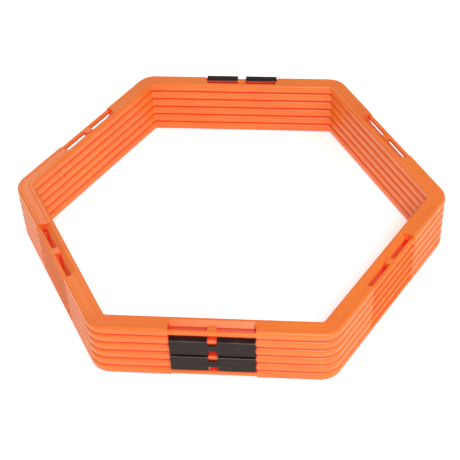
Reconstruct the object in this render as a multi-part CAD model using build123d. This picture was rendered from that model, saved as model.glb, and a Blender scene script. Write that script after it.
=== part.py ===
from build123d import *
import math
import os

# A set of six hexagonal plastic rings for footwork drills, folded on top of each
# other.  Every ring has a round hinge bar at the middle of each of its six sides.
# One-piece clips snap over two neighbouring bars, at the rear and at the front in
# turn, so the stack opens like an accordion into a flat row of six hexagons.
#
# Millimetres, +Z up.  The origin is under the middle of the lowest ring.
# -Y is the front, the side with two clips; +Y is the rear, the side with three.
# In a section, "depth" runs inwards from a side's outer face.

# ---- driving dimensions ------------------------------------------------------
RING_COUNT = 6
SIDES = 6
ACROSS_FLATS = 457.2          # 18 inches between opposite outer faces
BAND_WIDTH = 21.4             # from outer face to inner face
THICKNESS = 11.8              # rim to rim, top to bottom
CORNER_RADIUS = 26.0          # outer face, seen from above
PITCH = 12.9                  # from one ring of the stack to the next

OUTER_EDGE_RADIUS = 4.2       # rounding of the outer rim
INNER_EDGE_RADIUS = 3.4       # rounding of the inner rim
OUTER_RIM_WIDTH = 4.9         # raised rim along the outer face
INNER_RIM_WIDTH = 6.2         # raised rim along the inner face
OUTER_STEP = 1.0              # slope from the outer rim down to the web
INNER_STEP = 1.6              # slope from the inner rim down to the web
WEB_DROP = 0.7                # flat web between the rims, below their tops
STEP_RADIUS = 0.5             # soft edges of both slopes

BAR_RADIUS = 3.0              # round hinge bar moulded into each side
BAR_DEPTH = 2.7               # its axis, inwards from the outer face
NOTCH_LENGTH = 96.0           # clear length of the bar
BRIDGE_WIDTH = 10.0           # joins the bar's middle to the band
SLOT_WALL_DEPTH = 10.6        # far wall of the two slots behind the bar
BEVEL_DEPTH = 16.4            # where the slope down to that wall begins
NOSE_THICKNESS = 2.0          # what the slopes leave of the band at the wall
NOSE_RADIUS = 0.6
SLOT_CORNER_RADIUS = 2.0      # vertical corners of the slots
BAR_ROOT = 0.3                # bar ends run this far into the band
BRIDGE_ROOT = 1.0             # and so do the bridges

CLIP_LENGTH = 93.8
CLIP_WINDOW = 10.8            # gap between the two arms, for the bridge
CLIP_WINDOW_DEPTH = 6.8       # how far that gap is cut below the shoulder
WINDOW_CORNER_RADIUS = 0.8
CLIP_FACE = 5.7               # outer face, outwards from the bar's axis
CLIP_WALL = 1.45              # plastic around the bar
CLIP_END_RADIUS = 0.5         # soft edges at the clip's two ends
BAR_CLEARANCE = 0.08          # running fit of the bar in the clip
BRIDGE_CLEARANCE = 0.3        # clip web to the bar, between the arms
SHOULDER_RADIUS = 1.2
UPPER_LIP_ANGLE = 145         # the snap mouth opens between these two angles,
LOWER_LIP_ANGLE = 245         # counted from straight outwards over the top

# ---- derived dimensions ------------------------------------------------------
APOTHEM = ACROSS_FLATS / 2
HALF_THICKNESS = THICKNESS / 2
TURN = 360 / SIDES
STRAIGHT_LENGTH = 2 * (APOTHEM - CORNER_RADIUS) * math.tan(math.radians(TURN / 2))
BAR_LINE = APOTHEM - BAR_DEPTH
BORE_RADIUS = BAR_RADIUS + BAR_CLEARANCE
HOOK_RADIUS = BORE_RADIUS + CLIP_WALL
CLIP_HALF_HEIGHT = PITCH / 2 + HOOK_RADIUS
PAST = 4.0                    # how far a cutting block stands out of what it cuts


def upper_outline():
    """Upper half of the band's section as (depth, height, rounding) corners."""
    web_top = HALF_THICKNESS - WEB_DROP
    inner_rim = BAND_WIDTH - INNER_RIM_WIDTH
    return [
        (0, HALF_THICKNESS, OUTER_EDGE_RADIUS),
        (OUTER_RIM_WIDTH, HALF_THICKNESS, STEP_RADIUS),
        (OUTER_RIM_WIDTH + OUTER_STEP, web_top, STEP_RADIUS),
        (inner_rim - INNER_STEP, web_top, STEP_RADIUS),
        (inner_rim, HALF_THICKNESS, STEP_RADIUS),
        (BAND_WIDTH, HALF_THICKNESS, INNER_EDGE_RADIUS),
    ]


def band_section():
    """Section of the band across the +Y side, in the YZ plane."""
    upper = upper_outline()
    lower = [(depth, -height, rounding) for depth, height, rounding in reversed(upper)]
    corners = upper + lower
    places = [(APOTHEM - depth, height) for depth, height, _ in corners]
    face = make_face(Polyline(*places, close=True))
    for (across, height), (_, _, rounding) in zip(places, corners):
        if rounding > 0:
            near = face.vertices().sort_by_distance((across, height, 0))[0]
            face = fillet(near, rounding)
    return Plane.YZ * face


def plain_ring():
    """The band all round: six straight runs joined by six turned corners."""
    section = band_section()
    run = extrude(section, amount=STRAIGHT_LENGTH / 2, both=True)
    end_section = Pos(STRAIGHT_LENGTH / 2, 0, 0) * section
    turning_axis = Axis((STRAIGHT_LENGTH / 2, APOTHEM - CORNER_RADIUS, 0), (0, 0, -1))
    corner = revolve(end_section, turning_axis, revolution_arc=TURN)
    pieces = []
    for side in range(SIDES):
        pieces.append(Rot(0, 0, side * TURN) * run)
        pieces.append(Rot(0, 0, side * TURN) * corner)
    return pieces[0].fuse(*pieces[1:])


def bevelled_wall():
    """The band behind the slots: it slopes down from the inner rim to a blunt nose."""
    nose = NOSE_THICKNESS / 2
    upper = [(BAND_WIDTH, HALF_THICKNESS), (BEVEL_DEPTH, HALF_THICKNESS), (SLOT_WALL_DEPTH, nose)]
    lower = [(depth, -height) for depth, height in reversed(upper)]
    places = [(APOTHEM - depth, height) for depth, height in upper + lower]
    face = make_face(Polyline(*places, close=True))
    tips = face.vertices().sort_by(Axis.X)[-2:]
    return extrude(Plane.YZ * fillet(tips, NOSE_RADIUS), amount=NOTCH_LENGTH, both=True)


def notch_cutter():
    """What the +Y side's notch takes away: the outer rim, and the web down to the
    slope behind the slots, which are rounded at their ends."""
    height = THICKNESS + PAST
    rim = Box(NOTCH_LENGTH, SLOT_WALL_DEPTH + PAST, height)
    upright = rim.edges().filter_by(Axis.Z).group_by(Axis.Y)[0]
    rim = Pos(0, APOTHEM + (PAST - SLOT_WALL_DEPTH) / 2, 0) * fillet(upright, SLOT_CORNER_RADIUS)
    web_length = NOTCH_LENGTH - 2 * SLOT_CORNER_RADIUS
    web = Box(web_length, BEVEL_DEPTH, height)
    return rim + (Pos(0, APOTHEM - BEVEL_DEPTH / 2, 0) * web - bevelled_wall())


def hinge_bar():
    """Round bar along the +Y side with the bridge from its middle to the band."""
    bar = Cylinder(BAR_RADIUS, NOTCH_LENGTH + 2 * BAR_ROOT, rotation=(0, 90, 0))
    reach = SLOT_WALL_DEPTH - BAR_DEPTH + BRIDGE_ROOT
    bridge = Pos(0, -reach / 2, 0) * Box(BRIDGE_WIDTH, reach, 2 * BAR_RADIUS)
    return Pos(0, BAR_LINE, 0) * (bar + bridge)


def ring():
    """One ring: the band with a notch, a hinge bar and a bridge on every side."""
    body = plain_ring()
    turns = [Rot(0, 0, side * TURN) for side in range(SIDES)]
    body = body.cut(*[turn * notch_cutter() for turn in turns])
    return body.fuse(*[turn * hinge_bar() for turn in turns])


def sector(start, end):
    """Wedge from the bar's centre line out past the clip, between two angles."""
    reach = 3 * HOOK_RADIUS
    angles = [math.radians(angle) for angle in (start, (start + end) / 2, end)]
    rays = [(reach * math.cos(angle), reach * math.sin(angle)) for angle in angles]
    return make_face(Polyline((0, 0), *rays, close=True))


def upper_hook_section():
    """The clip's grip on the upper bar, with the outward direction along +X."""
    collar = Circle(HOOK_RADIUS)
    shoulder = Pos(CLIP_FACE / 2, HOOK_RADIUS / 2) * Rectangle(CLIP_FACE, HOOK_RADIUS)
    grip = collar + shoulder - Circle(BORE_RADIUS)
    return Pos(0, PITCH / 2) * (grip - sector(UPPER_LIP_ANGLE, LOWER_LIP_ANGLE))


def clip_section():
    """Section of the clip's arms: two grips joined by the flat outer web."""
    web_thickness = CLIP_FACE - BORE_RADIUS
    web = Pos(CLIP_FACE - web_thickness / 2, 0) * Rectangle(web_thickness, 2 * CLIP_HALF_HEIGHT)
    bores = Pos(0, PITCH / 2) * Circle(BORE_RADIUS) + Pos(0, -PITCH / 2) * Circle(BORE_RADIUS)
    upper = upper_hook_section()
    face = (web - bores) + upper + mirror(upper, Plane.XZ)
    shoulders = [
        face.vertices().sort_by_distance((CLIP_FACE, height, 0))[0]
        for height in (CLIP_HALF_HEIGHT, -CLIP_HALF_HEIGHT)
    ]
    return fillet(shoulders, SHOULDER_RADIUS)


def clip_window():
    """Block that parts the two upper arms, with rounded lower corners."""
    height = 2 * CLIP_WINDOW_DEPTH
    block = Box(CLIP_WINDOW, 6 * HOOK_RADIUS, height)
    low_edges = block.edges().filter_by(Axis.Y).group_by(Axis.Z)[0]
    middle = CLIP_HALF_HEIGHT - CLIP_WINDOW_DEPTH + height / 2
    return Pos(0, 0, middle) * fillet(low_edges, WINDOW_CORNER_RADIUS)


def clip():
    """One hinge clip on the +Y side, its middle at the height of the origin."""
    body = extrude(Plane.YZ * clip_section(), amount=CLIP_LENGTH / 2, both=True)
    ends = body.faces().filter_by(Axis.X)
    body = fillet([edge for end in ends for edge in outer_edges(end)], CLIP_END_RADIUS)
    window = clip_window()
    web_inside = BORE_RADIUS + BRIDGE_CLEARANCE
    hollow_depth = 2 * HOOK_RADIUS + PAST
    hollow = Box(CLIP_WINDOW, hollow_depth, 2 * CLIP_HALF_HEIGHT + PAST)
    hollow = Pos(0, web_inside - hollow_depth / 2, 0) * hollow
    return Pos(0, BAR_LINE, 0) * (body - window - Rot(180, 0, 0) * window - hollow)


def outer_edges(end):
    """The edges of an end face that lie on the clip's outside, not in its bores."""
    return [edge for edge in end.edges() if is_outside(edge @ 0.5)]


def is_outside(point):
    """Whether a point of the clip's section lies on a hook's outside or the flat face."""
    from_axis = math.hypot(point.Y, abs(point.Z) - PITCH / 2)
    return point.Y > CLIP_FACE - SHOULDER_RADIUS or abs(from_axis - HOOK_RADIUS) < BAR_CLEARANCE


def main():
    os.makedirs("parts", exist_ok=True)
    one_ring = ring()
    one_clip = clip()
    for number in range(1, RING_COUNT + 1):
        middle = HALF_THICKNESS + (RING_COUNT - number) * PITCH
        export_step(Pos(0, 0, middle) * one_ring, f"parts/ring_{number}.step")
    for upper in range(1, RING_COUNT):
        middle = HALF_THICKNESS + (RING_COUNT - upper - 0.5) * PITCH
        side = Rot(0, 0, 0 if upper % 2 else 180)
        export_step(Pos(0, 0, middle) * side * one_clip, f"parts/clip_{upper}_{upper + 1}.step")
    print("ring", one_ring.is_valid, len(one_ring.solids()), one_ring.volume)
    print("clip", one_clip.is_valid, len(one_clip.solids()), one_clip.volume)


main()
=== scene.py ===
import math

import bpy
from mathutils import Matrix, Vector


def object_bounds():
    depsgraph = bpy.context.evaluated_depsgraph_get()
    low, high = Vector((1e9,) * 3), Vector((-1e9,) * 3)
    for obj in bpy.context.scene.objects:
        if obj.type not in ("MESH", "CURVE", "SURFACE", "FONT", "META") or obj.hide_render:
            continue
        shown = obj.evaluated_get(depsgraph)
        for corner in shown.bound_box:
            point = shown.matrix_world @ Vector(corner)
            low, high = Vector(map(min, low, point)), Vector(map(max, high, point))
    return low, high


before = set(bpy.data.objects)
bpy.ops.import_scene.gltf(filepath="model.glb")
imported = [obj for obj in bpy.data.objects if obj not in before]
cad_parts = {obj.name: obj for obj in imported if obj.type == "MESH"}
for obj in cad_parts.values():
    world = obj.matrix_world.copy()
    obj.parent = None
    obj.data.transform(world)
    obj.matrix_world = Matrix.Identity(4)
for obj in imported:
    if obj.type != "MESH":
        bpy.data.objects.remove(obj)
CAD_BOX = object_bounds()

# ---- camera: the place it looks from and its lens -----------------------------
AZIMUTH = 6.585               # degrees round the stack, from straight in front
ELEVATION = 43.7466           # degrees above the horizon
ROLL = -2.9168
DISTANCE = 1.4026846          # metres to the middle of the stack's top
SLIDE_RIGHT = 0.0020018       # how far the view's centre lies from that middle
SLIDE_UP = -0.0493677
LENS = 90.767                 # millimetres, on a 36 mm sensor
SENSOR = 36.0

# ---- room -----------------------------------------------------------------------
FLOOR_HALF = 6.0              # metres from the middle to the floor's edge
FLOOR_GLOW = 0.32             # the floor's own light, which pales the shadows on it
WORLD_STRENGTH = 0.54
LAMPS = (                     # name, place, side of the square, power in watts
    ("key", (0.5, -1.9, 2.1), 0.9, 43),
    ("fill", (1.6, -0.9, 1.6), 1.0, 9),
    ("back", (-1.2, 1.8, 1.6), 1.0, 9),
)

# ---- colours, as linear red, green and blue ----------------------------------------
ORANGE_LOW = (0.75, 0.150, 0.012)
ORANGE_HIGH = (0.80, 0.180, 0.016)
ORANGE_FLOW = (0.72, 0.118, 0.014)
ORANGE_WORN = (0.90, 0.30, 0.10)
ORANGE_SCUFF = (0.88, 0.27, 0.09)
ORANGE_PAINTED_SHADE = (0.90, 0.034, 0.028)      # painted shade, a deeper red in slots and gaps
PAINTED_RED_GLOW = (1.0, 0.012, 0.010, 1)      # painted glow in slots and gaps, standing for light through the plastic
PAINTED_RED_GLOW_STRENGTH = 0.05
TINTS = (1.0, 0.985, 0.995, 0.975, 1.0, 0.985)      # of rings 1 to 6
CLIP_LOW = (0.013, 0.008, 0.006)
CLIP_HIGH = (0.024, 0.015, 0.012)
CLIP_SMEAR = (0.055, 0.042, 0.037)
CLIP_WORN = (0.14, 0.125, 0.125)
# painted highlight along the clips' outward, upward shoulders
CLIP_PAINTED_HIGHLIGHT = (0.20, 0.175, 0.175)
FLOOR_LOW = (0.97, 0.97, 0.97)
WHITE = (1.0, 1.0, 1.0)


def look_axes():
    """Right, up and backward directions of the camera."""
    azimuth, elevation, roll = (math.radians(a) for a in (AZIMUTH, ELEVATION, ROLL))
    level = math.cos(elevation)
    back = Vector((math.sin(azimuth) * level, -math.cos(azimuth) * level, math.sin(elevation)))
    flat_right = (-back).cross(Vector((0, 0, 1))).normalized()
    flat_up = flat_right.cross(-back)
    right = flat_right * math.cos(roll) + flat_up * math.sin(roll)
    up = flat_up * math.cos(roll) - flat_right * math.sin(roll)
    return right, up, back


def make_camera():
    right, up, back = look_axes()
    top_middle = Vector((0, 0, CAD_BOX[1].z))
    place = top_middle + back * DISTANCE + right * SLIDE_RIGHT + up * SLIDE_UP
    data = bpy.data.cameras.new("camera")
    data.sensor_width = SENSOR
    data.lens = LENS
    camera = bpy.data.objects.new("camera", data)
    turn = Matrix((right, up, back)).transposed().to_4x4()
    camera.matrix_world = Matrix.Translation(place) @ turn
    bpy.context.scene.collection.objects.link(camera)
    bpy.context.scene.camera = camera


# ---- small helpers for node materials ------------------------------------------
class Nodes:
    """A material's node tree, with short calls for the nodes used here."""

    def __init__(self, name):
        self.material = bpy.data.materials.new(name)
        self.material.use_nodes = True
        self.tree = self.material.node_tree
        self.shader = self.tree.nodes["Principled BSDF"]
        self.place = self.add("ShaderNodeTexCoord").outputs["Object"]

    def add(self, kind, **settings):
        node = self.tree.nodes.new(kind)
        for key, value in settings.items():
            setattr(node, key, value)
        return node

    def put(self, value, socket):
        """Link an output to a socket, or set the socket's own number or colour."""
        if isinstance(value, bpy.types.NodeSocket):
            self.tree.links.new(value, socket)
        elif hasattr(value, "__len__") and len(value) == 3 and len(socket.default_value) == 4:
            socket.default_value = (*value, 1)
        else:
            socket.default_value = value

    def stretched(self, scale):
        """Object coordinates, stretched by a factor along each axis."""
        node = self.add("ShaderNodeMapping")
        self.put(self.place, node.inputs["Vector"])
        self.put(scale, node.inputs["Scale"])
        return node.outputs["Vector"]

    def noise(self, scale, detail=2.0, roughness=0.5, vector=None):
        node = self.add("ShaderNodeTexNoise")
        self.put(vector or self.place, node.inputs["Vector"])
        self.put(scale, node.inputs["Scale"])
        self.put(detail, node.inputs["Detail"])
        self.put(roughness, node.inputs["Roughness"])
        return node.outputs["Fac"]

    def range(self, value, low, high, to_low, to_high):
        node = self.add("ShaderNodeMapRange", interpolation_type="SMOOTHSTEP")
        for number, socket in zip((value, low, high, to_low, to_high), node.inputs):
            self.put(number, socket)
        return node.outputs["Result"]

    def math(self, operation, one, other=0.0):
        node = self.add("ShaderNodeMath", operation=operation)
        self.put(one, node.inputs[0])
        self.put(other, node.inputs[1])
        return node.outputs["Value"]

    def mix(self, share, one, other):
        """Blend two colours."""
        node = self.add("ShaderNodeMix", data_type="RGBA")
        self.put(share, node.inputs["Factor"])
        self.put(one, node.inputs[6])
        self.put(other, node.inputs[7])
        return node.outputs[2]

    def edges(self, radius):
        """How much a sharp outside edge is worn: 0 on flat faces, towards 1 on an edge."""
        bevel = self.add("ShaderNodeBevel", samples=4)
        self.put(radius, bevel.inputs["Radius"])
        geometry = self.add("ShaderNodeNewGeometry")
        dot = self.add("ShaderNodeVectorMath", operation="DOT_PRODUCT")
        self.put(bevel.outputs["Normal"], dot.inputs[0])
        self.put(geometry.outputs["Normal"], dot.inputs[1])
        return self.range(dot.outputs["Value"], 0.99, 0.80, 0.0, 1.0)

    def painted_shade_mask(self, distance, open_share, closed_share):
        """How occluded a spot is, from ambient occlusion: 0 in the open, 1 deep in a slot or
        gap; the mask for painted shade.
        """
        node = self.add("ShaderNodeAmbientOcclusion", samples=8)
        self.put(distance, node.inputs["Distance"])
        return self.range(node.outputs["AO"], open_share, closed_share, 0.0, 1.0)

    def parts(self, vector):
        """X, Y and Z of a vector."""
        node = self.add("ShaderNodeSeparateXYZ")
        self.put(vector, node.inputs["Vector"])
        return node.outputs

    def painted_highlight_shoulder(self, low, high):
        """1 where the surface leans outwards and up, halfway between upright and level; this
        band takes the painted highlight.
        """
        normal = self.parts(self.add("ShaderNodeNewGeometry").outputs["Normal"])
        side = self.math("SIGN", self.parts(self.place)["Y"])
        lean = self.math("MULTIPLY", normal["Y"], self.math("MULTIPLY", normal["Z"], side))
        return self.range(lean, low, high, 0.0, 1.0)

    def bump(self, height, strength, distance, under=None):
        node = self.add("ShaderNodeBump")
        self.put(height, node.inputs["Height"])
        self.put(strength, node.inputs["Strength"])
        self.put(distance, node.inputs["Distance"])
        if under is not None:
            self.put(under, node.inputs["Normal"])
        return node.outputs["Normal"]


# ---- orange ring plastic --------------------------------------------------------
def ring_plastic(name, tint):
    """Bright orange injection-moulded polyethylene: satin, slightly uneven in colour,
    finely pitted, with flow lines, faint scuffs and paler rubbed edges, with a painted shade of
    deeper red and a faint painted red glow in its slots and gaps."""
    def shaded(colour):
        return (colour[0] * tint, colour[1], colour[2])

    n = Nodes(name)
    cloud = n.range(n.noise(9.0, 3.0), 0.30, 0.70, 0.0, 1.0)
    base = n.mix(cloud, *(shaded(colour) for colour in (ORANGE_LOW, ORANGE_HIGH)))
    flow = n.range(n.noise(26.0, 4.0, 0.6), 0.52, 0.78, 0.0, 0.35)
    base = n.mix(flow, base, ORANGE_FLOW)
    worn = n.edges(0.0009)
    patchy = n.range(n.noise(70.0, 3.0), 0.35, 0.75, 0.15, 0.6)
    base = n.mix(n.math("MULTIPLY", worn, patchy), base, ORANGE_WORN)
    streaks = n.noise(1.0, 4.0, 0.65, n.stretched((420.0, 60.0, 300.0)))
    scuff = n.range(streaks, 0.62, 0.72, 0.0, 1.0)
    scuff = n.math("MULTIPLY", scuff, n.range(n.noise(14.0), 0.50, 0.65, 0.0, 0.30))
    base = n.mix(scuff, base, ORANGE_SCUFF)
    # painted shade: where ambient occlusion finds a slot or gap, the colour turns deeper red
    painted_shade = n.painted_shade_mask(0.014, 0.66, 0.30)
    base = n.mix(painted_shade, base, ORANGE_PAINTED_SHADE)
    n.put(base, n.shader.inputs["Base Color"])
    rough = n.range(n.noise(160.0, 3.0), 0.30, 0.75, 0.28, 0.40)
    n.put(n.math("ADD", rough, n.math("MULTIPLY", scuff, 0.5)), n.shader.inputs["Roughness"])
    skin = n.bump(n.noise(1500.0, 2.0), 0.10, 0.0002)
    waves = n.bump(n.noise(34.0, 2.0), 0.25, 0.0010, skin)
    n.put(n.bump(scuff, 0.20, 0.0001, waves), n.shader.inputs["Normal"])
    # painted glow: slots and gaps give off a faint red light of their own
    n.put(n.math("MULTIPLY", painted_shade, PAINTED_RED_GLOW_STRENGTH), n.shader.inputs["Emission Strength"])
    n.shader.inputs["Emission Color"].default_value = PAINTED_RED_GLOW
    n.shader.inputs["Subsurface Weight"].default_value = 0.22
    n.shader.inputs["Subsurface Radius"].default_value = (0.0060, 0.0016, 0.0006)
    n.shader.inputs["Subsurface Scale"].default_value = 1.0
    n.shader.inputs["Specular IOR Level"].default_value = 0.5
    return n.material


# ---- black clip plastic ----------------------------------------------------------
def clip_plastic(name):
    """Brown-black moulded nylon: satin, drawn lightly along its length, with dusty smears,
    edges rubbed to a dark grey, and a painted grey highlight along the shoulders."""
    n = Nodes(name)
    along = n.stretched((40.0, 900.0, 900.0))
    drawn = n.noise(1.0, 3.0, 0.6, along)
    base = n.mix(n.range(drawn, 0.35, 0.70, 0.0, 1.0), CLIP_LOW, CLIP_HIGH)
    clouds = n.noise(1.0, 4.0, 0.6, n.stretched((60.0, 60.0, 220.0)))
    smear = n.range(clouds, 0.52, 0.80, 0.0, 0.7)
    base = n.mix(smear, base, CLIP_SMEAR)
    patchy = n.range(n.noise(110.0), 0.30, 0.70, 0.35, 1.0)
    base = n.mix(n.math("MULTIPLY", n.edges(0.0007), patchy), base, CLIP_WORN)
    # painted highlight: a grey band where the surface leans outwards and up, uneven along the
    # grain
    uneven = n.range(drawn, 0.30, 0.60, 0.35, 0.9)
    base = n.mix(n.math("MULTIPLY", n.painted_highlight_shoulder(0.40, 0.49), uneven), base, CLIP_PAINTED_HIGHLIGHT)
    n.put(base, n.shader.inputs["Base Color"])
    rough = n.range(n.noise(220.0, 3.0), 0.30, 0.75, 0.30, 0.44)
    n.put(n.math("ADD", rough, n.math("MULTIPLY", smear, 0.18)), n.shader.inputs["Roughness"])
    fine = n.bump(drawn, 0.12, 0.0002)
    n.put(n.bump(n.noise(1700.0, 2.0), 0.10, 0.00015, fine), n.shader.inputs["Normal"])
    n.shader.inputs["Specular IOR Level"].default_value = 0.16
    return n.material


def dress_parts():
    """Give every ring and clip its plastic; no two rings have quite one colour."""
    clip_black = clip_plastic("clip_black")
    for name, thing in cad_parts.items():
        plastic = clip_black
        if name.startswith("ring"):
            number = int(name.split("_")[1])
            plastic = ring_plastic(f"orange_{number}", TINTS[number - 1])
        thing.data.materials.clear()
        thing.data.materials.append(plastic)


# ---- floor and light ---------------------------------------------------------------
def make_floor():
    half = FLOOR_HALF
    mesh = bpy.data.meshes.new("floor")
    corners = [(-half, -half, 0), (half, -half, 0), (half, half, 0), (-half, half, 0)]
    mesh.from_pydata(corners, [], [(0, 1, 2, 3)])
    n = Nodes("pale_floor")
    cloud = n.range(n.noise(3.0), 0.3, 0.7, 0.0, 1.0)
    n.put(n.mix(cloud, FLOOR_LOW, WHITE), n.shader.inputs["Base Color"])
    n.shader.inputs["Roughness"].default_value = 0.9
    n.shader.inputs["Emission Color"].default_value = (1, 1, 1, 1)
    n.shader.inputs["Emission Strength"].default_value = FLOOR_GLOW
    mesh.materials.append(n.material)
    floor = bpy.data.objects.new("floor", mesh)
    bpy.context.scene.collection.objects.link(floor)


def make_world(strength):
    world = bpy.data.worlds.new("studio")
    bpy.context.scene.world = world
    world.use_nodes = True
    background = world.node_tree.nodes["Background"]
    background.inputs["Color"].default_value = (*WHITE, 1)
    background.inputs["Strength"].default_value = strength


def soft_box(name, place, size, power):
    """Square lamp at a place, pointed at the stack."""
    data = bpy.data.lights.new(name, "AREA")
    data.shape = "SQUARE"
    data.size = size
    data.energy = power
    lamp = bpy.data.objects.new(name, data)
    lamp.location = place
    lamp.rotation_euler = (-Vector(place)).to_track_quat("-Z", "Y").to_euler()
    bpy.context.scene.collection.objects.link(lamp)


make_camera()
dress_parts()
make_floor()
make_world(WORLD_STRENGTH)
for lamp in LAMPS:
    soft_box(*lamp)

bpy.context.scene.view_settings.view_transform = "Standard"
